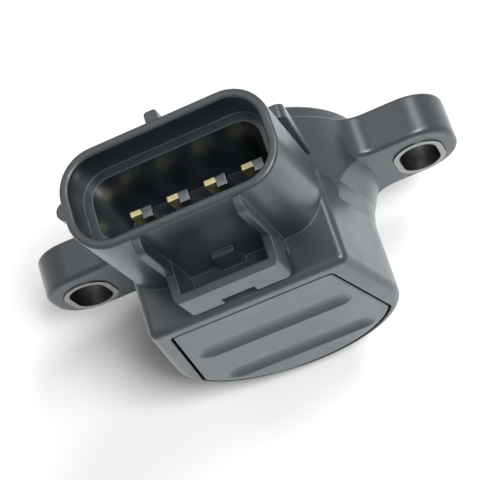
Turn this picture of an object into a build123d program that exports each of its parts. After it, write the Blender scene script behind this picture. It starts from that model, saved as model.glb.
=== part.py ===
from build123d import *
import os
from math import cos, radians, sin, sqrt

# Throttle position sensor. The rotor turns about Y. The mounting face is y = 0, the throttle body lies
# on its +Y side, the cover faces -Y and the plug goes in from +Z.

# Flange and ears
ear_thickness = 4.65
disc_radius = 15.0
screw_spacing = 39.4
ear_end_radius = 4.3
ear_end_spread = 1.6
ear_root_radius = 3.0
ear_edge_radius = 0.55
ear_back_edge_radius = 0.3
screw_slot_width = 4.2
screw_slot_length = 6.2
screw_slot_drop = 0.7
sleeve_wall = 0.6
sleeve_proud = 0.12

# Pilot that centres the sensor in the throttle body, with its face seal
pilot_radius = 14.5
pilot_length = 1.5
pilot_chamfer = 0.3
seal_ring_radius = 12.0
seal_ring_section = 0.9
seal_groove_depth = 1.3
seal_groove_clearance = 0.2

# Body: round below, with drafted sides up to a flat shoulder, a little to one side of the rotor axis
body_depth = 17.9
body_radius = 12.45
body_shift = 0.3
side_draft = 8.0
shoulder_height = 14.0
shoulder_corner_radius = 0.9
front_edge_radius = 0.8
collar_length = 5.6
collar_knee_depth = 2.0
collar_knee_spread = 0.45
collar_overlap = 0.5
wing_back = 7.7

# Cover let into the front
cover_radius = 11.45
cover_side = 10.15
cover_top = 12.0
cover_thickness = 1.6
cover_top_corner = 0.7
cover_low_corner = 1.2
cover_gap = 0.28
cover_ledge = 1.2
cover_edge_radius = 0.2
cover_seal_thickness = 0.5
groove_height = 4.0
groove_low_height = -5.6
groove_half_length = 8.6
groove_half_width = 1.75
groove_depth = 0.55
post_radius = 1.0

# Plug shroud
shroud_axis = -8.25
shroud_width = 21.4
shroud_height = 10.4
shroud_corner = 4.1
shroud_wall = 0.95
rim_height = 28.1
rim_edge_radius = 0.35
ledge_depth = 3.6
ledge_width = 1.0
socket_floor = 14.5
shroud_root = 8.0

# Guide ribs on the outside of the shroud
key_width = 1.3
key_height = 1.1
key_root = 13.5
fin_reach = 11.0
fin_foot_reach = 10.25
fin_back = -3.2
fin_front = -4.65
fin_top = 21.2
fin_bottom = 6.0
fin_corner = 0.9
end_rib_radius = 0.95
end_rib_proud = 0.6

# Latch hood below the shroud
latch_centre = 0.25
latch_width = 10.9
latch_wall = 0.9
latch_corner = 0.7
rail_width = 0.8
rail_depth = 1.5
rail_corner = 1.0
hood_bottom = 15.6
hood_top = 19.9
hood_notch_width = 3.5
hood_notch_height = 1.2
catch_width = 2.4
catch_height = 0.55
catch_top = 17.8
catch_edge_radius = 0.2

# Terminals
terminal_count = 4
terminal_pitch = 4.0
terminal_row = -6.95
terminal_width = 2.3
terminal_thickness = 0.64
terminal_tip = 19.0
terminal_point_length = 0.9
terminal_point_inset = 0.22
terminal_overrun = 0.1
fold_width = 1.15
fold_thickness = 0.58
fold_drop = 0.15
fold_edge = 0.12

# Chamber and element board
chamber_floor = 5.2
chamber_radius = 8.4
pocket_half_width = 7.6
board_room = 1.6
board_thickness = 1.0
board_clearance = 0.15
clip_sheet = 0.26
clip_width = 1.4
clip_leg = 1.2

# Rotor and what it carries
bearing_radius = 4.0
bearing_wall = 1.0
journal_clearance = 0.05
fit_clearance = 0.02
hub_radius = 5.0
plate_radius = 7.8
plate_thickness = 1.4
brush_room = 1.6
journal_end = 0.9
socket_radius = 3.0
socket_flats = 4.0
socket_depth = 6.5
drive_recess_radius = 8.5
washer_thickness = 0.5
washer_radius = 5.6
washer_clearance = 0.05
clip_ring_radius = 5.2
clip_ring_thickness = 0.5
clip_ring_groove_radius = 3.4
clip_ring_clearance = 0.1
clip_ring_gap = 70.0
stake_radius = 0.55
stake_height = 0.3
stake_spacing = 2.4

# Wiper brushes
brush_sheet = 0.2
brush_radius = 5.0
brush_base_length = 1.8
brush_length = 6.7
brush_board_gap = 0.08
brush_finger_width = 0.42
brush_finger_pitch = 0.62
brush_tip_length = 0.5
wiper_fingers = 5
wiper_angle = 200.0
idle_fingers = 3
idle_angle = 330.0

# Return spring
spring_mean_radius = 6.2
spring_wire_radius = 0.3
spring_pitch = 0.8
spring_end_gap = 0.7
spring_back = 6.4
spring_leg_clearance = 0.15
spring_leg_depth = 0.9

# Sizes that follow from the above
ear_centre = screw_spacing / 2
terminal_places = [(i - (terminal_count - 1) / 2) * terminal_pitch for i in range(terminal_count)]
shroud_low_wall = shroud_axis - shroud_height / 2
shroud_top_wall = shroud_axis + shroud_height / 2
cover_back = body_depth - cover_thickness
groove_tool_radius = (groove_half_width**2 + groove_depth**2) / (2 * groove_depth)
seal_back = cover_back - cover_seal_thickness
chamber_roof = cover_top - cover_ledge
terminal_run_bottom = chamber_roof - terminal_thickness
board_top = terminal_run_bottom - clip_sheet
board_ledge = seal_back - board_room
board_front = board_ledge + board_thickness
terminal_end = board_front + terminal_overrun
plate_front = board_ledge - brush_room
plate_back = plate_front - plate_thickness
spring_front = plate_back - spring_end_gap
spring_turns = int((spring_front - spring_back) / spring_pitch)
bearing_outer = bearing_radius + bearing_wall
hub_back = chamber_floor + washer_thickness + washer_clearance
latch_low = latch_centre - latch_width / 2
latch_high = latch_centre + latch_width / 2


def front_plane(depth):
    """A plane across the rotor axis, this far towards the cover, facing the cover."""
    return Plane(origin=(0, -depth, 0), x_dir=(1, 0, 0), z_dir=(0, -1, 0))


def slab(outline, back, front):
    """An outline in X and Z, made solid between two depths towards the cover."""
    return extrude(front_plane(back) * outline, amount=front - back)


def disc(radius, back, front):
    return slab(Circle(radius), back, front)


def box(low, high):
    """A block between two corners."""
    size = [b - a for a, b in zip(low, high)]
    middle = [(a + b) / 2 for a, b in zip(low, high)]
    return Pos(*middle) * Box(*size)


def about_axis(shape, angle):
    """Turns a piece about the rotor axis."""
    return Rot(0, angle, 0) * shape


def keystone(radius, side, top, top_corner, low_corner=0.0):
    """Round below, flat on top, with both sides leaning in at the body's draft."""
    lean = radians(side_draft)
    half_top = (side - top * sin(lean)) / cos(lean)
    down = sqrt(max(radius * radius - side * side, 0.0))
    low_x = side * cos(lean) + down * sin(lean)
    low_z = side * sin(lean) - down * cos(lean)
    edges = [
        Line((-half_top, top), (half_top, top)),
        Line((half_top, top), (low_x, low_z)),
        ThreePointArc((low_x, low_z), (0, -radius), (-low_x, low_z)),
        Line((-low_x, low_z), (-half_top, top)),
    ]
    face = make_face(edges)
    if low_corner:
        face = fillet(face.vertices().group_by(Axis.Y)[0], low_corner)
    return fillet(face.vertices().group_by(Axis.Y)[-1], top_corner)


def cover_outline(grow):
    """The cover's outline, grown all round by this much."""
    sizes = (cover_radius + grow, cover_side + grow, cover_top + grow)
    return keystone(*sizes, cover_top_corner, cover_low_corner)


def ear_slot(grow):
    """The screw slot's outline in one ear, grown all round by this much."""
    width = screw_slot_width + 2 * grow
    length = screw_slot_length + 2 * grow
    return Pos(ear_centre, -screw_slot_drop) * Rot(0, 0, 90) * SlotOverall(length, width)


def both_sides(shape):
    """A flat outline and its mirror image across the middle plane."""
    return shape + mirror(shape, about=Plane.YZ)


def flange():
    """The round flange with its two ears and the pilot behind it."""
    ear_end = Pos(ear_centre, 0) * Rot(0, 0, 90) * SlotCenterToCenter(ear_end_spread, 2 * ear_end_radius)
    ear_height = ear_end_spread + 2 * ear_end_radius
    ear_neck = Pos(ear_centre / 2, 0) * Rectangle(ear_centre, ear_height)
    outline = Circle(disc_radius) + both_sides(ear_end + ear_neck)
    roots = [v for v in outline.vertices() if abs(v.X**2 + v.Y**2 - disc_radius**2) < 0.01]
    outline = fillet(roots, ear_root_radius)
    plate = slab(outline, 0, ear_thickness)
    plate = fillet(plate.faces().sort_by(Axis.Y)[0].edges(), ear_edge_radius)
    plate = fillet(plate.faces().sort_by(Axis.Y)[-1].edges(), ear_back_edge_radius)
    pilot = disc(pilot_radius, -pilot_length, ear_edge_radius)
    pilot = chamfer(pilot.faces().sort_by(Axis.Y)[-1].edges(), pilot_chamfer)
    return plate + pilot


def body_outline(grow):
    """The body's outline, with its sides and round grown by this much."""
    radius = body_radius + grow
    return Pos(body_shift, 0) * keystone(radius, radius, shoulder_height, shoulder_corner_radius)


def collar():
    """The hollow flare from the body's sides out to the flange's disc, in two slopes."""
    start = ear_thickness - ear_edge_radius
    end = start + collar_length
    slope = collar_knee_spread / collar_knee_depth
    sections = [
        front_plane(end + collar_overlap) * body_outline(-slope * collar_overlap),
        front_plane(end - collar_knee_depth) * body_outline(collar_knee_spread),
        front_plane(start) * body_outline(disc_radius - body_shift - body_radius),
    ]
    return loft(sections, ruled=True) & disc(disc_radius, start, end + collar_overlap)


def body():
    """The chamber's body: a collar against the flange, and two upper corners that overhang its disc."""
    shell = slab(body_outline(0), ear_edge_radius, body_depth)
    shell = fillet(shell.faces().sort_by(Axis.Y)[0].edges(), front_edge_radius)
    corner_reach = body_radius + shoulder_height
    shell &= disc(disc_radius, 0, wing_back) + disc(corner_reach, wing_back, body_depth)
    return shell + collar()


def shroud_outline(inset):
    """The shroud's section, drawn in this far from its outside."""
    return Pos(0, shroud_axis) * RectangleRounded(
        shroud_width - 2 * inset, shroud_height - 2 * inset, shroud_corner - inset
    )


def shroud():
    """The plug shroud: a rounded tube with a ledge for the plug's seal."""
    tube = extrude(Pos(0, 0, shroud_root) * shroud_outline(0), amount=rim_height - shroud_root)
    mouth = Pos(0, 0, rim_height - ledge_depth) * shroud_outline(shroud_wall)
    tube -= extrude(mouth, amount=ledge_depth)
    tube = fillet(tube.faces().sort_by(Axis.Z)[-1].edges(), rim_edge_radius)
    bore = Pos(0, 0, socket_floor) * shroud_outline(shroud_wall + ledge_width)
    return tube - extrude(bore, amount=rim_height - socket_floor)


def shroud_ribs():
    """The key on the back wall, the fin at one corner and the half-round rib at the other end."""
    key = box(
        (-key_width / 2, shroud_top_wall - shroud_wall / 2, key_root),
        (key_width / 2, shroud_top_wall + key_height, rim_height - rim_edge_radius),
    )
    key = fillet(key.edges().filter_by(Axis.Z).group_by(Axis.Y)[-1], key_width / 4)
    fin_root = shroud_width / 2 - shroud_corner
    fin_outline = make_face(
        Polyline(
            (fin_root, fin_bottom),
            (fin_foot_reach, fin_bottom),
            (fin_reach, fin_top),
            (fin_root, fin_top),
            close=True,
        )
    )
    fin_outline = fillet(fin_outline.vertices().sort_by(Axis.X)[-1], fin_corner)
    fin = slab(fin_outline, -fin_back, -fin_front)
    rib_place = -shroud_width / 2 - end_rib_proud + end_rib_radius
    rib = Pos(rib_place, shroud_axis, shoulder_height) * Cylinder(
        end_rib_radius, rim_height - shoulder_height, align=(Align.CENTER, Align.CENTER, Align.MIN)
    )
    rib -= extrude(Pos(0, 0, shoulder_height) * shroud_outline(shroud_wall / 2), amount=rim_height)
    return key + fin + rib


def latch():
    """Two rails down the front wall and the hood that bridges them, with the catch between."""
    front = -body_depth
    hood_middle = Pos(latch_centre, (front + shroud_low_wall) / 2)
    hood_size = (latch_width, shroud_low_wall - front)
    plan = hood_middle * Rectangle(*hood_size)
    plan = fillet(plan.vertices().group_by(Axis.Y)[0], latch_corner)
    inside = (latch_width - 2 * latch_wall, hood_size[1] - latch_wall)
    plan -= hood_middle * Pos(0, latch_wall / 2) * Rectangle(*inside)
    hood = extrude(Pos(0, 0, hood_bottom) * plan, amount=hood_top - hood_bottom)
    hood -= box(
        (latch_centre - hood_notch_width / 2, front, hood_bottom),
        (latch_centre + hood_notch_width / 2, front + latch_wall, hood_bottom + hood_notch_height),
    )
    rails = []
    for left in (latch_low, latch_high - rail_width):
        rail = box(
            (left, shroud_low_wall - rail_depth, shoulder_height),
            (left + rail_width, shroud_low_wall + shroud_wall / 2, rim_height - rim_edge_radius),
        )
        top_edge = rail.edges().filter_by(Axis.X).group_by(Axis.Z)[-1].sort_by(Axis.Y)[0]
        rails.append(fillet(top_edge, rail_corner))
    catch = box(
        (latch_centre - catch_width / 2, shroud_low_wall - catch_height, shoulder_height),
        (latch_centre + catch_width / 2, shroud_low_wall + shroud_wall / 2, catch_top),
    )
    catch_edge = catch.edges().filter_by(Axis.X).group_by(Axis.Z)[-1].sort_by(Axis.Y)[0]
    return hood + rails[0] + rails[1] + fillet(catch_edge, catch_edge_radius)


def terminal_slots():
    """Where the terminals pass from the socket into the chamber."""
    half = terminal_width / 2
    slots = [
        box(
            (x - half, terminal_row - terminal_thickness / 2, chamber_roof),
            (x + half, terminal_row + terminal_thickness / 2, socket_floor),
        )
        for x in terminal_places
    ]
    return slots


def chamber():
    """All that is cut out of the body from the cover side."""
    recess = slab(cover_outline(cover_gap), seal_back, body_depth)
    board_seat = slab(cover_outline(-cover_ledge), board_ledge, seal_back)
    pocket = Pos(0, chamber_roof / 2) * Rectangle(2 * pocket_half_width, chamber_roof)
    deep = slab(Circle(chamber_radius) + pocket, chamber_floor, board_ledge)
    leg_hole_radius = spring_wire_radius + spring_leg_clearance
    leg_hole_end = chamber_floor - spring_leg_depth - spring_leg_clearance
    leg_hole = Pos(spring_mean_radius, 0, 0) * disc(leg_hole_radius, leg_hole_end, chamber_floor)
    return recess + board_seat + deep + leg_hole


def seal_groove():
    half = seal_ring_section + seal_groove_clearance
    ring = Circle(seal_ring_radius + half) - Circle(seal_ring_radius - half)
    return slab(ring, -pilot_length, seal_groove_depth - pilot_length)


def housing():
    """The moulded housing: flange, body, shroud and latch in one piece."""
    solid = flange() + body() + shroud() + shroud_ribs() + latch()
    solid -= chamber()
    solid -= disc(bearing_outer, 0, chamber_floor)
    solid -= disc(drive_recess_radius, -pilot_length, 0)
    solid -= seal_groove()
    for slot in terminal_slots():
        solid -= slot
    sleeve_hole = slab(ear_slot(sleeve_wall + fit_clearance), 0, ear_thickness)
    solid -= sleeve_hole
    solid -= mirror(sleeve_hole, about=Plane.YZ)
    return solid


def cover():
    """The flush cover, with two finger grooves outside and three posts that hold the board."""
    plate = slab(cover_outline(0), cover_back, body_depth)
    plate = fillet(plate.faces().sort_by(Axis.Y)[0].edges(), cover_edge_radius)
    axis_depth = body_depth + groove_tool_radius - groove_depth
    straight = groove_half_length - groove_half_width
    for height in (groove_height, groove_low_height):
        place = Pos(0, -axis_depth, height)
        plate -= place * Rot(0, 90, 0) * Cylinder(groove_tool_radius, 2 * straight)
        for end in (-straight, straight):
            plate -= place * Pos(end, 0, 0) * Sphere(groove_tool_radius)
    post = slab(Circle(post_radius), board_front, cover_back)
    reach = chamber_radius - 2 * post_radius
    for x, z in ((-reach, reach / 2), (reach, reach / 2), (0, -chamber_radius)):
        plate += Pos(x, 0, z) * post
    return plate


def cover_seal():
    ring = cover_outline(0) - cover_outline(-cover_ledge)
    return slab(ring, seal_back, cover_back)


def terminal(x):
    """A blade, folded double along one side in the socket, that runs along the chamber's roof to the board."""
    half = terminal_width / 2
    front = terminal_row - terminal_thickness / 2
    back = terminal_row + terminal_thickness / 2
    blade = box((x - half, front, chamber_roof), (x + half, back, terminal_tip))
    tip = blade.faces().sort_by(Axis.Z)[-1].edges()
    blade = chamfer(tip, terminal_point_length, terminal_point_inset)
    fold = box(
        (x + half - fold_width, front - fold_thickness, socket_floor),
        (x + half, front, terminal_tip - fold_drop),
    )
    fold = chamfer(fold.faces().sort_by(Axis.Z)[-1].edges(), fold_edge)
    run = box((x - half, -terminal_end, terminal_run_bottom), (x + half, back, chamber_roof))
    return blade + fold + run


def sleeve(side):
    """The metal sleeve that takes the screw's load in one ear."""
    tube = slab(ear_slot(sleeve_wall) - ear_slot(0), 0, ear_thickness + sleeve_proud)
    return tube if side > 0 else mirror(tube, about=Plane.YZ)


def element_board():
    """The board that carries the resistor tracks on its inner face."""
    inset = cover_ledge + board_clearance
    sizes = (cover_radius - inset, cover_side - inset, board_top)
    return slab(keystone(*sizes, cover_top_corner, cover_low_corner), board_ledge, board_front)


def edge_clip(x):
    """A spring clip over the board's top edge that meets the terminal above it."""
    outside = box(
        (x - clip_width / 2, -board_front - clip_sheet, board_top - clip_leg),
        (x + clip_width / 2, -board_ledge + clip_sheet, terminal_run_bottom),
    )
    inside = box(
        (x - clip_width / 2, -board_front, board_top - clip_leg),
        (x + clip_width / 2, -board_ledge, board_top),
    )
    return outside - inside


def bearing_bush():
    ring = Circle(bearing_outer - fit_clearance) - Circle(bearing_radius)
    return slab(ring, 0, chamber_floor)


def thrust_washer():
    ring = Circle(washer_radius) - Circle(bearing_radius + journal_clearance)
    return slab(ring, chamber_floor, chamber_floor + washer_thickness)


def rotor_clip():
    """An open retaining ring in the journal's groove, on the mounting side of the bearing."""
    ring = Circle(clip_ring_radius) - Circle(clip_ring_groove_radius)
    reach = 2 * clip_ring_radius
    gap_x = reach * sin(radians(clip_ring_gap / 2))
    gap_z = reach * cos(radians(clip_ring_gap / 2))
    gap = Polyline((0, 0), (gap_x, gap_z), (-gap_x, gap_z), close=True)
    front = -clip_ring_clearance
    return slab(ring - make_face(gap), front - clip_ring_thickness, front)


def at_stakes(shape, angle):
    """Two copies of a piece where a brush is staked to the rotor plate."""
    along = (brush_base_length - brush_length) / 2
    low = Pos(brush_radius - stake_spacing / 2, 0, along) * shape
    high = Pos(brush_radius + stake_spacing / 2, 0, along) * shape
    return about_axis(low + high, angle)


def rotor():
    """The plastic rotor: journal with its drive socket, hub and the plate for the brushes."""
    journal = disc(bearing_radius - journal_clearance, -journal_end, hub_back)
    hub = disc(hub_radius, hub_back, plate_back)
    plate = disc(plate_radius, plate_back, plate_front)
    solid = journal + hub + plate
    stake = disc(stake_radius, plate_back, plate_front + brush_sheet + stake_height)
    solid += at_stakes(stake, wiper_angle) + at_stakes(stake, idle_angle)
    double_d = Circle(socket_radius) & Rectangle(2 * socket_radius, socket_flats)
    solid -= slab(double_d, -journal_end, socket_depth)
    groove = Circle(hub_radius) - Circle(clip_ring_groove_radius - journal_clearance)
    solid -= slab(groove, -2 * clip_ring_clearance - clip_ring_thickness, 0)
    leg_hole = disc(spring_wire_radius + spring_leg_clearance, plate_back, plate_front)
    solid -= Pos(spring_mean_radius, 0, 0) * leg_hole
    return solid


def brush(fingers, angle):
    """A sheet-metal brush: a staked base and a row of sprung fingers that lean to the board."""
    back = -brush_length / 2
    bend = back + brush_base_length
    tip_start = brush_length / 2 - brush_tip_length
    base_top = -plate_front
    base_low = base_top - brush_sheet
    tip_low = -board_ledge + brush_board_gap
    tip_top = tip_low + brush_sheet
    half_span = stake_spacing / 2 + 1.5 * stake_radius
    sheet = box((brush_radius - half_span, base_low, back), (brush_radius + half_span, base_top, bend))
    lean = Polyline(
        (bend, base_top),
        (tip_start, tip_top),
        (brush_length / 2, tip_top),
        (brush_length / 2, tip_low),
        (tip_start, tip_low),
        (bend, base_low),
        close=True,
    )
    for i in range(fingers):
        side = brush_radius + (i - (fingers - 1) / 2) * brush_finger_pitch + brush_finger_width / 2
        across = Plane(origin=(side, 0, 0), x_dir=(0, 0, 1), z_dir=(-1, 0, 0))
        sheet += extrude(across * make_face(lean), amount=brush_finger_width)
    stake_hole = disc(stake_radius + fit_clearance, plate_front, plate_front + brush_sheet)
    return about_axis(sheet, angle) - at_stakes(stake_hole, angle)


def return_spring():
    """A torsion coil round the hub, one leg in the housing and the other in the rotor plate."""
    length = spring_front - spring_back
    coil_path = Helix(length / spring_turns, length, spring_mean_radius)
    start = coil_path @ 0
    section = Plane(origin=start, z_dir=coil_path % 0) * Circle(spring_wire_radius)
    coil = sweep(section, path=coil_path, is_frenet=True)
    coil = Pos(0, -spring_back, 0) * Rot(90, 0, 0) * coil
    back_leg = disc(spring_wire_radius, chamber_floor - spring_leg_depth, spring_back)
    front_leg = disc(spring_wire_radius, spring_front, plate_front - spring_wire_radius)
    knuckle = Sphere(spring_wire_radius)
    ends = back_leg + front_leg + Pos(0, -spring_back, 0) * knuckle + Pos(0, -spring_front, 0) * knuckle
    return coil + Pos(spring_mean_radius, 0, 0) * ends


def seal_ring():
    ring = Torus(seal_ring_radius, seal_ring_section)
    return Pos(0, pilot_length - seal_groove_depth + seal_ring_section, 0) * Rot(90, 0, 0) * ring


def pieces():
    made = {
        "housing": housing(),
        "cover": cover(),
        "cover_seal": cover_seal(),
        "sleeve_left": sleeve(-1),
        "sleeve_right": sleeve(1),
        "element_board": element_board(),
        "bearing_bush": bearing_bush(),
        "thrust_washer": thrust_washer(),
        "rotor": rotor(),
        "rotor_clip": rotor_clip(),
        "wiper_brush": brush(wiper_fingers, wiper_angle),
        "idle_brush": brush(idle_fingers, idle_angle),
        "return_spring": return_spring(),
        "flange_seal": seal_ring(),
    }
    for number, x in enumerate(terminal_places, 1):
        made[f"terminal_{number}"] = terminal(x)
        made[f"edge_clip_{number}"] = edge_clip(x)
    return made


os.makedirs("parts", exist_ok=True)
for name, shape in pieces().items():
    export_step(shape, f"parts/{name}.step")
    print(name, round(shape.volume, 1), shape.bounding_box().size)
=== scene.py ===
from math import asin, pi
import bpy
import bmesh
from mathutils import Matrix, Vector


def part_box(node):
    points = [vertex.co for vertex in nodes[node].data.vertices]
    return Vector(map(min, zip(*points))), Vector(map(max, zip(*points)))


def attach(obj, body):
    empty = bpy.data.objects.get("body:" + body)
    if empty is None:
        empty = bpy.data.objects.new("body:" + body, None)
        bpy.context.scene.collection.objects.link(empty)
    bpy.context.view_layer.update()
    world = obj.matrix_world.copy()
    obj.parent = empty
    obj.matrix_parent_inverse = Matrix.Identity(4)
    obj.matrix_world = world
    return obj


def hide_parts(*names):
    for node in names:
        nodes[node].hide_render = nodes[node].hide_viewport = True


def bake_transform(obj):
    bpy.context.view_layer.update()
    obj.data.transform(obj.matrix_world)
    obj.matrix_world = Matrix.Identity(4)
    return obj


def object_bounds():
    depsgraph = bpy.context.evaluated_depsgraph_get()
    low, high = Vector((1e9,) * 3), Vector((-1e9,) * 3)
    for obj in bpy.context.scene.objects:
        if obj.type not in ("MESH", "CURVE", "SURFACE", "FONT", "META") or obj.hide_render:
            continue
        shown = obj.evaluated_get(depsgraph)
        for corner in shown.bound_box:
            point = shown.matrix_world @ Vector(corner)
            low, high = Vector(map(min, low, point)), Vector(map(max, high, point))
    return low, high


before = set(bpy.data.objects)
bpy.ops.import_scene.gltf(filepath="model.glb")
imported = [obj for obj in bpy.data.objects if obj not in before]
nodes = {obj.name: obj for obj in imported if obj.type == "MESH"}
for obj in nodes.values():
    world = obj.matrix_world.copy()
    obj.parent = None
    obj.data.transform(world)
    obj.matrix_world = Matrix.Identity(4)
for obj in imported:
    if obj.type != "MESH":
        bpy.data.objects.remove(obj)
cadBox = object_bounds()
mm = 0.001


def linear(hexColour):  # sRGB hex to the linear colour that sockets take
    parts = [int(hexColour[i:i + 2], 16) / 255 for i in (1, 3, 5)]
    return tuple(c / 12.92 if c <= 0.04045 else ((c + 0.055) / 1.055) ** 2.4 for c in parts) + (1.0,)


def perMm(size):  # texture scale whose features are this many millimetres wide
    return 1.0 / (size * mm)


def addNode(tree, kind, inputs=None, **settings):  # an input is a value or another node's socket
    node = tree.nodes.new(kind)
    for name, value in settings.items():
        setattr(node, name, value)
    for name, value in (inputs or {}).items():
        if isinstance(value, bpy.types.NodeSocket):
            tree.links.new(value, node.inputs[name])
        else:
            node.inputs[name].default_value = value
    return node


def newMaterial(name):
    material = bpy.data.materials.new(name)
    material.use_nodes = True
    material.node_tree.nodes.clear()
    return material, material.node_tree


def wear(material, names):
    for name in names:
        mesh = nodes[name].data
        mesh.materials.clear()
        mesh.materials.append(material)


# The photograph's viewpoint, high in front of the cover and a little to the right
cameraValues = {
    "placeMm": (31.912, -71.404, 154.860),
    "forward": (-0.19512, 0.38256, -0.90309),
    "up": (0.37910, 0.87864, 0.29029),
    "lens": 118.84,
}


def makeCamera(values):
    forward = Vector(values["forward"]).normalized()
    right = forward.cross(Vector(values["up"])).normalized()
    up = right.cross(forward)
    data = bpy.data.cameras.new("camera")
    data.lens = values["lens"]
    data.sensor_width = 36
    data.clip_start = 0.01
    camera = bpy.data.objects.new("camera", data)
    turn = Matrix((right, up, -forward)).transposed().to_4x4()
    camera.matrix_world = Matrix.Translation(Vector(values["placeMm"]) * mm) @ turn
    bpy.context.scene.collection.objects.link(camera)
    bpy.context.scene.camera = camera


makeCamera(cameraValues)
print("camera set")

# Moulded glass-filled PBT: a spark-eroded mould leaves a fine grain under a resin-rich satin skin
housingLook = {
    "colour": "#171b1e",
    "paleColour": "#1f2427",
    "edgeWearAndHighlightColour": "#34393d",   # edges are paler: partly rubbed in handling, partly a painted highlight along the edges
    "roughness": (0.36, 0.50),
    "ior": 1.42,               # low, because the grain breaks up the gloss seen head on
    "skin": 0.9,               # share of the gloss that the resin skin adds
    "skinRoughness": 0.31,
    "skinTint": "#ebf8ff",     # the skin is faintly blue
    "grainMm": 0.24,           # real grain is near 0.1 mm, drawn coarser so that it shows
    "grainDepthMm": 0.006,
    "mottleMm": 4.0,
    "edgeMm": 0.22,
}


def mouldedPlastic(name, look):
    material, tree = newMaterial(name)
    place = addNode(tree, "ShaderNodeTexCoord").outputs["Object"]
    grain = addNode(tree, "ShaderNodeTexNoise", {
        "Vector": place, "Scale": perMm(look["grainMm"]), "Detail": 3.0, "Roughness": 0.6})
    mottle = addNode(tree, "ShaderNodeTexNoise", {
        "Vector": place, "Scale": perMm(look["mottleMm"]), "Detail": 5.0})
    rounded = addNode(tree, "ShaderNodeBevel", {"Radius": look["edgeMm"] * mm}, samples=6)
    facing = addNode(tree, "ShaderNodeNewGeometry")
    same = addNode(tree, "ShaderNodeVectorMath", {
        0: rounded.outputs["Normal"], 1: facing.outputs["Normal"]}, operation="DOT_PRODUCT")
    # painted highlight and wear: where the rounded normal parts from the true one, at edges, the colour is
    # mixed towards the paler edge colour
    wearAndHighlightMask = addNode(tree, "ShaderNodeMapRange", {
        "Value": same.outputs["Value"], "From Min": 0.7, "From Max": 0.99, "To Min": 0.8, "To Max": 0.0})
    body = addNode(tree, "ShaderNodeMix", {
        "Factor": mottle.outputs["Fac"], 6: linear(look["colour"]), 7: linear(look["paleColour"])},
        data_type="RGBA")
    colour = addNode(tree, "ShaderNodeMix", {
        "Factor": wearAndHighlightMask.outputs["Result"], 6: body.outputs[2], 7: linear(look["edgeWearAndHighlightColour"])},
        data_type="RGBA")
    low, high = look["roughness"]
    rough = addNode(tree, "ShaderNodeMapRange", {
        "Value": mottle.outputs["Fac"], "From Min": 0.3, "From Max": 0.7, "To Min": low, "To Max": high})
    bump = addNode(tree, "ShaderNodeBump", {
        "Height": grain.outputs["Fac"], "Strength": 0.5, "Distance": look["grainDepthMm"] * mm,
        "Normal": rounded.outputs["Normal"]})
    shader = addNode(tree, "ShaderNodeBsdfPrincipled", {
        "Base Color": colour.outputs[2], "Roughness": rough.outputs["Result"], "IOR": look["ior"],
        "Coat Weight": look["skin"], "Coat Roughness": look["skinRoughness"], "Coat IOR": look["ior"],
        "Coat Tint": linear(look["skinTint"]), "Normal": bump.outputs["Normal"],
        "Coat Normal": bump.outputs["Normal"]})
    addNode(tree, "ShaderNodeOutputMaterial", {"Surface": shader.outputs["BSDF"]})
    return material


wear(mouldedPlastic("mouldedPbt", housingLook), ["housing"])

coverLook = dict(housingLook, colour="#1b1f22", paleColour="#24292d", roughness=(0.34, 0.48), skin=1.0)
wear(mouldedPlastic("mouldedPbtCover", coverLook), ["cover"])

# Natural nylon: ivory, matter than the housing and faintly mottled
rotorLook = dict(housingLook, colour="#b9b09a", paleColour="#c9c1ac", edgeWearAndHighlightColour="#d2cbb8",
                 roughness=(0.38, 0.5), skin=0.1)
wear(mouldedPlastic("naturalNylon", rotorLook), ["rotor"])

# Nitrile rubber: moulded matt, with a dull bloom
rubberLook = dict(housingLook, colour="#131414", paleColour="#1f2020", edgeWearAndHighlightColour="#262727",
                  roughness=(0.55, 0.75), skin=0.0, mottleMm=1.5, grainMm=0.3, grainDepthMm=0.012)
wear(mouldedPlastic("nitrileRubber", rubberLook), ["cover_seal", "flange_seal"])

# Fired alumina board: off-white and granular, with two printed resistor tracks under the brushes
boardLook = {
    "colour": "#d8d6cc",
    "paleColour": "#e4e2da",
    "trackColour": "#17181a",
    "roughness": 0.5,
    "grainMm": 0.2,
    "grainDepthMm": 0.006,
    "trackMm": ((5.15, 1.1), (6.6, 1.3)),   # middle radius and width
}


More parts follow.
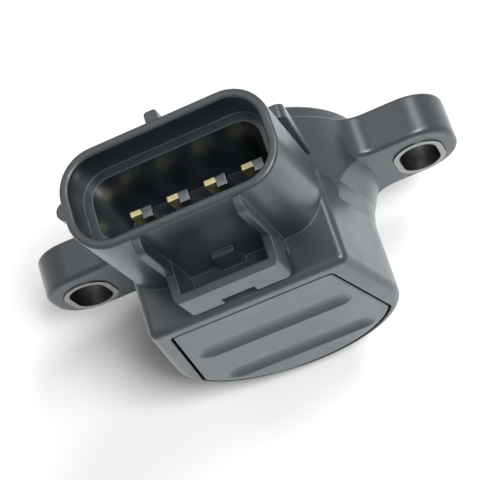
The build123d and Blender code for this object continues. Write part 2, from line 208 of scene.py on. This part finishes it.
def printedBoard(name, look):
    material, tree = newMaterial(name)
    coords = addNode(tree, "ShaderNodeTexCoord")
    grain = addNode(tree, "ShaderNodeTexNoise", {
        "Vector": coords.outputs["Object"], "Scale": perMm(look["grainMm"]), "Detail": 3.0})
    body = addNode(tree, "ShaderNodeMix", {
        "Factor": grain.outputs["Fac"], 6: linear(look["colour"]), 7: linear(look["paleColour"])},
        data_type="RGBA")
    flat = addNode(tree, "ShaderNodeVectorMath", {
        0: coords.outputs["Object"], 1: (1, 0, 1)}, operation="MULTIPLY")
    radius = addNode(tree, "ShaderNodeVectorMath", {0: flat.outputs["Vector"]}, operation="LENGTH")
    facing = addNode(tree, "ShaderNodeSeparateXYZ", {"Vector": coords.outputs["Normal"]})
    inner = addNode(tree, "ShaderNodeMath", {0: facing.outputs["Y"], 1: 0.5}, operation="GREATER_THAN")
    colour = body.outputs[2]
    for middle, width in look["trackMm"]:
        ring = addNode(tree, "ShaderNodeMath", {
            0: radius.outputs["Value"], 1: middle * mm, 2: width / 2 * mm}, operation="COMPARE")
        track = addNode(tree, "ShaderNodeMath", {
            0: ring.outputs[0], 1: inner.outputs[0]}, operation="MULTIPLY")
        colour = addNode(tree, "ShaderNodeMix", {
            "Factor": track.outputs[0], 6: colour, 7: linear(look["trackColour"])},
            data_type="RGBA").outputs[2]
    bump = addNode(tree, "ShaderNodeBump", {
        "Height": grain.outputs["Fac"], "Strength": 0.5, "Distance": look["grainDepthMm"] * mm})
    shader = addNode(tree, "ShaderNodeBsdfPrincipled", {
        "Base Color": colour, "Roughness": look["roughness"], "Normal": bump.outputs["Normal"]})
    addNode(tree, "ShaderNodeOutputMaterial", {"Surface": shader.outputs["BSDF"]})
    return material


wear(printedBoard("firedAlumina", boardLook), ["element_board"])

# Zinc plate on drawn steel: a light haze over faint drawing lines, and painted shade that darkens the bore
sleeveLook = {
    "colour": "#a9abaa",
    "darkColour": "#7d7f7e",
    "roughness": (0.30, 0.46),
    "hazeMm": 1.0,
    "lineMm": (0.14, 4.0, 0.14),   # drawn along Y
    "lineDepthMm": 0.008,
    "boreShadeColour": "#5c5e5e",       # painted shade: the bore is drawn a darker grey that stands for the shade inside it
}


def platedMetal(name, look):
    material, tree = newMaterial(name)
    coords = addNode(tree, "ShaderNodeTexCoord")
    haze = addNode(tree, "ShaderNodeTexNoise", {
        "Vector": coords.outputs["Object"], "Scale": perMm(look["hazeMm"]), "Detail": 5.0, "Roughness": 0.65})
    stretch = addNode(tree, "ShaderNodeMapping", {
        "Vector": coords.outputs["Object"], "Scale": [perMm(size) for size in look["lineMm"]]})
    lines = addNode(tree, "ShaderNodeTexNoise", {
        "Vector": stretch.outputs["Vector"], "Scale": 1.0, "Detail": 3.0})
    colour = addNode(tree, "ShaderNodeMix", {
        "Factor": haze.outputs["Fac"], 6: linear(look["darkColour"]), 7: linear(look["colour"])},
        data_type="RGBA")
    # painted shade: faces that do not face along Y, the walls of the bore, are mixed towards a darker grey
    if "boreShadeColour" in look:
        across = addNode(tree, "ShaderNodeSeparateXYZ", {"Vector": coords.outputs["Normal"]})
        endOn = addNode(tree, "ShaderNodeMath", {0: across.outputs["Y"]}, operation="ABSOLUTE")
        boreShade = addNode(tree, "ShaderNodeMapRange", {
            "Value": endOn.outputs[0], "From Min": 0.15, "From Max": 0.75, "To Min": 1.0, "To Max": 0.0})
        colour = addNode(tree, "ShaderNodeMix", {
            "Factor": boreShade.outputs["Result"], 6: colour.outputs[2], 7: linear(look["boreShadeColour"])},
            data_type="RGBA")
    low, high = look["roughness"]
    rough = addNode(tree, "ShaderNodeMapRange", {
        "Value": haze.outputs["Fac"], "From Min": 0.3, "From Max": 0.7, "To Min": low, "To Max": high})
    bump = addNode(tree, "ShaderNodeBump", {
        "Height": lines.outputs["Fac"], "Strength": 0.6, "Distance": look["lineDepthMm"] * mm})
    shader = addNode(tree, "ShaderNodeBsdfPrincipled", {
        "Base Color": colour.outputs[2], "Metallic": 1.0, "Roughness": rough.outputs["Result"],
        "Normal": bump.outputs["Normal"]})
    addNode(tree, "ShaderNodeOutputMaterial", {"Surface": shader.outputs["BSDF"]})
    return material


wear(platedMetal("zincPlatedSteel", sleeveLook), ["sleeve_left", "sleeve_right"])

# Drawn and stamped spring steel: grey, oiled, with short rolling marks
springLook = {
    "colour": "#9b9d9e",
    "darkColour": "#6f7172",
    "roughness": (0.28, 0.42),
    "hazeMm": 0.8,
    "lineMm": (0.2, 0.2, 1.2),
    "lineDepthMm": 0.006,
}
springSteel = platedMetal("springSteel", springLook)
wear(springSteel, ["thrust_washer", "rotor_clip", "return_spring"])

# Stamped brass: rolled strip, with sheared edges left a little rough
brassLook = {
    "colour": "#ebe0bb",
    "darkColour": "#ccba86",
    "roughness": (0.42, 0.6),
    "hazeMm": 0.5,
    "lineMm": (0.12, 0.12, 1.6),   # rolled along Z
    "lineDepthMm": 0.006,
}
stampedBrass = platedMetal("stampedBrass", brassLook)
wear(stampedBrass, ["wiper_brush", "idle_brush"] + [f"edge_clip_{i}" for i in range(1, 5)])

# Reflowed tin on the brass: grey, bright and slightly rippled
tinLook = dict(brassLook, colour="#8f9496", darkColour="#6d7274", roughness=(0.24, 0.34), lineDepthMm=0.002)
reflowedTin = platedMetal("reflowedTin", tinLook)

# Sintered bronze: pressed powder whose open pores hold the oil
bronzeLook = {
    "colour": "#a9814a",
    "poreColour": "#3d2c18",
    "roughness": 0.42,
    "poreMm": 0.22,                # real pores are near 0.03 mm, drawn coarser so that they show
    "poreDepthMm": 0.01,
}


def sinteredMetal(name, look):
    material, tree = newMaterial(name)
    place = addNode(tree, "ShaderNodeTexCoord").outputs["Object"]
    pores = addNode(tree, "ShaderNodeTexVoronoi", {"Vector": place, "Scale": perMm(look["poreMm"])})
    solid = addNode(tree, "ShaderNodeMapRange", {
        "Value": pores.outputs["Distance"], "From Min": 0.12, "From Max": 0.3})
    colour = addNode(tree, "ShaderNodeMix", {
        "Factor": solid.outputs["Result"], 6: linear(look["poreColour"]), 7: linear(look["colour"])},
        data_type="RGBA")
    bump = addNode(tree, "ShaderNodeBump", {
        "Height": solid.outputs["Result"], "Strength": 0.6, "Distance": look["poreDepthMm"] * mm})
    shader = addNode(tree, "ShaderNodeBsdfPrincipled", {
        "Base Color": colour.outputs[2], "Metallic": 1.0, "Roughness": look["roughness"],
        "Normal": bump.outputs["Normal"]})
    addNode(tree, "ShaderNodeOutputMaterial", {"Surface": shader.outputs["BSDF"]})
    return material


wear(sinteredMetal("sinteredBronze", bronzeLook), ["bearing_bush"])
print("materials made")

# Socket blades: a strip folded double along its right side, tinned there and bare brass at the left tip
bladeValues = {
    "count": 4,
    "thickness": 0.64,       # millimetres, as all of these
    "foldWidth": 1.15,
    "foldThickness": 0.58,
    "socketFloor": 14.5,
    "edge": 0.09,
}


def newVerts(made):
    return [part for part in made["geom"] if isinstance(part, bmesh.types.BMVert)]


def riseTo(shape, faces, height):  # extrudes a flat region up to a height and gives the new top faces
    made = bmesh.ops.extrude_face_region(shape, geom=faces)
    for vert in newVerts(made):
        vert.co.z = height
    return [part for part in made["geom"] if isinstance(part, bmesh.types.BMFace)]


def reachTo(shape, faces, depth):  # extrudes front faces forward along Y
    for vert in newVerts(bmesh.ops.extrude_face_region(shape, geom=faces)):
        vert.co.y = depth
    bmesh.ops.delete(shape, geom=[face for face in faces if face.is_valid], context="FACES_ONLY")


def frontFaces(shape, front, bottom, top, left):  # front faces between two heights, right of a line
    found = []
    for face in shape.faces:
        centre = face.calc_center_median()
        if abs(centre.y - front) < 1e-4 and bottom < centre.z < top and centre.x > left:
            found.append(face)
    return found


def makeBlade(node, values):
    low, high = (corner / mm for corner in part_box(node))
    front = high.y - values["thickness"]
    seam = high.x - values["foldWidth"]
    roof = low.z + values["thickness"]
    floorLevel = values["socketFloor"]
    shape = bmesh.new()
    bmesh.ops.create_grid(shape, x_segments=2, y_segments=1, size=1.0)
    for vert in shape.verts:
        across = low.x if vert.co.x < -0.5 else high.x if vert.co.x > 0.5 else seam
        vert.co = (across, front if vert.co.y < 0 else high.y, low.z)
    top = riseTo(shape, shape.faces[:], roof)
    for height in (floorLevel, high.z):
        inside = top
        top = riseTo(shape, inside, height)
        bmesh.ops.delete(shape, geom=[face for face in inside if face.is_valid], context="FACES_ONLY")
    reachTo(shape, frontFaces(shape, front, low.z, roof, low.x), low.y)
    reachTo(shape, frontFaces(shape, front, floorLevel, high.z, seam), front - values["foldThickness"])
    bmesh.ops.remove_doubles(shape, verts=shape.verts[:], dist=1e-4)
    bmesh.ops.recalc_face_normals(shape, faces=shape.faces[:])
    sharp = [edge for edge in shape.edges if edge.calc_face_angle(0.0) > 1.0]
    bmesh.ops.bevel(shape, geom=sharp, offset=values["edge"], offset_type="OFFSET", affect="EDGES",
                    segments=3, profile=0.5, material=-1, clamp_overlap=True)
    for face in shape.faces:
        centre = face.calc_center_median()
        tinned = centre.z > floorLevel and (centre.x > seam or face.normal.y > 0.5)
        face.material_index = 1 if tinned else 0
    bmesh.ops.scale(shape, vec=(mm, mm, mm), verts=shape.verts)
    mesh = bpy.data.meshes.new(f"{node}_blade")
    shape.to_mesh(mesh)
    shape.free()
    mesh.materials.append(stampedBrass)
    mesh.materials.append(reflowedTin)
    blade = bpy.data.objects.new(f"{node}_blade", mesh)
    bpy.context.scene.collection.objects.link(blade)
    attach(blade, "body")
    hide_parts(node)


for number in range(1, bladeValues["count"] + 1):
    makeBlade(f"terminal_{number}", bladeValues)
print("blades made")

# Return spring: drawn wire coiled round the hub, one leg in the housing and the other in the rotor's plate
springValues = {
    "meanRadiusMm": 6.2,
    "wireMm": 0.3,
    "pitchMm": 0.8,
    "coilBackMm": 6.4,       # where the coil begins, behind which the leg goes into the housing
    "plateMm": 1.4,
    "endGapMm": 0.7,         # from the coil to the rotor's plate
    "bendMm": 0.36,
    "sides": 12,
    "turnSteps": 36,
    "bendSteps": 6,
}


def ringEdges(made):
    return [part for part in made["geom_last"] if isinstance(part, bmesh.types.BMEdge)]


def bendLeg(shape, ring, centre, values, end):  # bends the wire to run along the axis, up to its end
    made = bmesh.ops.spin(shape, geom=ring, cent=centre, axis=(1, 0, 0), angle=pi / 2,
                          steps=values["bendSteps"])
    grown = bmesh.ops.extrude_edge_only(shape, edges=ringEdges(made))["geom"]
    for vert in [part for part in grown if isinstance(part, bmesh.types.BMVert)]:
        vert.co.y = end
    bmesh.ops.edgeloop_fill(shape, edges=[part for part in grown if isinstance(part, bmesh.types.BMEdge)])


def makeSpring(node, values):
    low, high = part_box(node)
    radius = values["meanRadiusMm"] * mm
    bend = values["bendMm"] * mm
    back = values["coilBackMm"] * mm
    front = -low.y - (values["plateMm"] + values["endGapMm"] - values["wireMm"]) * mm
    turns = int((front - back) / (values["pitchMm"] * mm))
    lead = asin(bend / radius)   # the coil starts this far round, so that the bent legs come out in line
    sweep = 2 * pi * turns - 2 * lead
    steps = values["turnSteps"] * turns
    shape = bmesh.new()
    bmesh.ops.create_circle(shape, segments=values["sides"], radius=values["wireMm"] * mm)
    bmesh.ops.translate(shape, verts=shape.verts, vec=(radius, -back, 0))
    bmesh.ops.rotate(shape, verts=shape.verts, cent=(0, 0, 0), matrix=Matrix.Rotation(-lead, 3, "Y"))
    first = shape.edges[:]
    coil = bmesh.ops.spin(shape, geom=first, cent=(0, 0, 0), axis=(0, -1, 0), angle=sweep, steps=steps,
                          dvec=(0, (back - front) / steps, 0))
    last = ringEdges(coil)
    bendLeg(shape, first, (radius, bend - back, bend), values, high.y)
    bendLeg(shape, last, (radius, -front - bend, -bend), values, low.y)
    bmesh.ops.recalc_face_normals(shape, faces=shape.faces[:])
    for face in shape.faces:
        face.smooth = len(face.verts) == 4
    mesh = bpy.data.meshes.new("twisting_spring")
    shape.to_mesh(mesh)
    shape.free()
    mesh.materials.append(springSteel)
    spring = bpy.data.objects.new("twisting_spring", mesh)
    bpy.context.scene.collection.objects.link(spring)
    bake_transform(spring)
    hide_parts(node)


makeSpring("return_spring", springValues)
print("spring made")


def seenAsBackground(tree):  # 1 for a ray that shows the background, 0 for one that lights the object
    path = addNode(tree, "ShaderNodeLightPath")
    seen = addNode(tree, "ShaderNodeMath", {
        0: path.outputs["Is Camera Ray"], 1: path.outputs["Is Glossy Ray"]}, operation="MAXIMUM")
    seen = addNode(tree, "ShaderNodeMath", {
        0: seen.outputs[0], 1: path.outputs["Is Transmission Ray"]}, operation="MAXIMUM")
    return seen.outputs[0]


# Floor, a hair under the body
floorValues = {"halfMm": 3000, "gapMm": 0.02, "colour": "#fcfcfb", "whiteShare": 0.06, "clearMm": (70, 240)}


def makeFloor(values):
    mesh = bpy.data.meshes.new("floor")
    shape = bmesh.new()
    bmesh.ops.create_grid(shape, x_segments=1, y_segments=1, size=values["halfMm"] * mm)
    bmesh.ops.translate(shape, verts=shape.verts, vec=(0, 0, cadBox[0].z - values["gapMm"] * mm))
    shape.to_mesh(mesh)
    shape.free()
    floor = bpy.data.objects.new("floor", mesh)
    bpy.context.scene.collection.objects.link(floor)
    material, tree = newMaterial("paperSweep")
    place = addNode(tree, "ShaderNodeTexCoord").outputs["Object"]
    away = addNode(tree, "ShaderNodeVectorMath", {0: place}, operation="LENGTH")
    near, far = values["clearMm"]
    clear = addNode(tree, "ShaderNodeMapRange", {   # the sweep runs out to plain white away from the object
        "Value": away.outputs["Value"], "From Min": near * mm, "From Max": far * mm,
        "To Min": values["whiteShare"]}, interpolation_type="SMOOTHSTEP")
    share = addNode(tree, "ShaderNodeMath", {
        0: seenAsBackground(tree), 1: clear.outputs["Result"]}, operation="MULTIPLY")
    paper = addNode(tree, "ShaderNodeBsdfDiffuse", {"Color": linear(values["colour"])})
    white = addNode(tree, "ShaderNodeEmission", {"Color": (1, 1, 1, 1), "Strength": 1.0})
    both = addNode(tree, "ShaderNodeMixShader", {
        0: share.outputs[0], 1: paper.outputs[0], 2: white.outputs[0]})
    addNode(tree, "ShaderNodeOutputMaterial", {"Surface": both.outputs[0]})
    mesh.materials.append(material)


makeFloor(floorValues)

# Two soft boxes high on the right, a weak one overhead, and a pale room for the rest
lampValues = {
    "rightFrontBox": {"placeMm": (480, -300, 980), "sizeMm": 340, "watts": 11.8},
    "rightBackBox": {"placeMm": (640, 260, 900), "sizeMm": 340, "watts": 5.6},
    "overheadBox": {"placeMm": (-180, 350, 880), "sizeMm": 420, "watts": 0.8},
}
worldValues = {"light": 0.08, "seen": 1.0}


def makeLight(lamps, world):
    for name, values in lamps.items():
        data = bpy.data.lights.new(name, "AREA")
        data.shape = "SQUARE"
        data.size = values["sizeMm"] * mm
        data.energy = values["watts"]
        lamp = bpy.data.objects.new(name, data)
        place = Vector(values["placeMm"]) * mm
        lamp.matrix_world = Matrix.Translation(place) @ (-place).to_track_quat("-Z", "Y").to_matrix().to_4x4()
        bpy.context.scene.collection.objects.link(lamp)
    sky = bpy.data.worlds.new("studio")
    sky.use_nodes = True
    tree = sky.node_tree
    tree.nodes.clear()
    level = addNode(tree, "ShaderNodeMapRange", {
        "Value": seenAsBackground(tree), "To Min": world["light"], "To Max": world["seen"]})
    white = addNode(tree, "ShaderNodeBackground", {
        "Color": (1, 1, 1, 1), "Strength": level.outputs["Result"]})
    addNode(tree, "ShaderNodeOutputWorld", {"Surface": white.outputs[0]})
    bpy.context.scene.world = sky
    bpy.context.scene.view_settings.view_transform = "Standard"


makeLight(lampValues, worldValues)
print("floor and light set")
